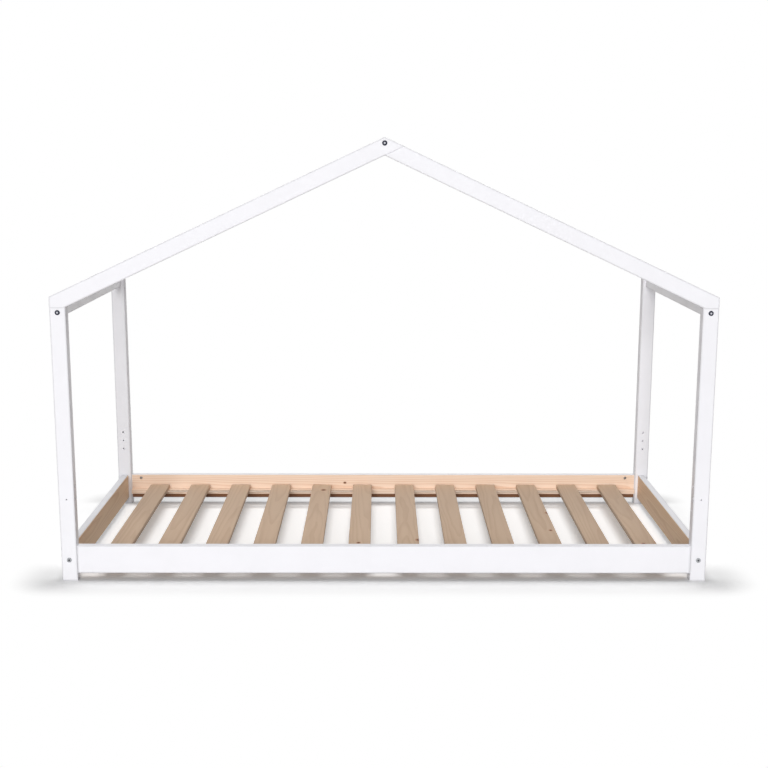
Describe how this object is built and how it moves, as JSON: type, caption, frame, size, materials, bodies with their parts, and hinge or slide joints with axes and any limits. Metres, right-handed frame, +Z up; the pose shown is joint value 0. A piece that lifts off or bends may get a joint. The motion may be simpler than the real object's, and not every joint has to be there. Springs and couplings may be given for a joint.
{
  "type": "house frame bed",
  "caption": "Low child's bed with a gabled house frame over it: painted posts, rafters and rails, and a slatted deck of bare pine on webbing.",
  "frame": {"origin": "on the floor under the middle of the bed", "axes": "+Z up, +X along the bed to the right as seen from the front, +Y across the bed to the rear"},
  "size_m": [1.986, 0.986, 1.335],
  "materials": {
    "painted_timber": "satin white paint",
    "raw_pine": "planed, untreated",
    "beech": "turned, untreated",
    "webbing": "flat woven",
    "zinc": "zinc plated",
    "dark_steel": "dark, satin"
  },
  "bodies": {
    "root": {"post_front_left": "painted_timber", "rafter_front_left": "painted_timber", "tape_front_left": "webbing", "post_front_right": "painted_timber", "rafter_front_right": "painted_timber", "tape_front_right": "webbing", "rail_front": "painted_timber", "batten_front": "raw_pine", "post_rear_left": "painted_timber", "rafter_rear_left": "painted_timber", "tape_rear_left": "webbing", "post_rear_right": "painted_timber", "rafter_rear_right": "painted_timber", "tape_rear_right": "webbing", "rail_rear": "painted_timber", "batten_rear": "raw_pine", "side_rail_left": "painted_timber", "eave_beam_left": "painted_timber", "side_rail_right": "painted_timber", "eave_beam_right": "painted_timber", "ridge_beam": "painted_timber", "slat_01": "raw_pine", "slat_02": "raw_pine", "slat_03": "raw_pine", "slat_04": "raw_pine", "slat_05": "raw_pine", "slat_06": "raw_pine", "slat_07": "raw_pine", "slat_08": "raw_pine", "slat_09": "raw_pine", "slat_10": "raw_pine", "slat_11": "raw_pine", "slat_12": "raw_pine", "foot_bolts": "zinc", "rail_bolts": "zinc", "batten_screws": "zinc", "tape_staples": "zinc", "eave_bolts": "dark_steel", "apex_bolts": "dark_steel", "side_rail_nuts": "zinc", "eave_nuts": "zinc", "ridge_nuts": "zinc", "rail_nuts": "zinc", "side_rail_dowels": "beech", "rail_dowels": "beech", "seat_dowels": "beech", "eave_dowels": "beech", "ridge_dowels": "beech", "apex_dowels": "beech"}
  },
  "joints": []
}
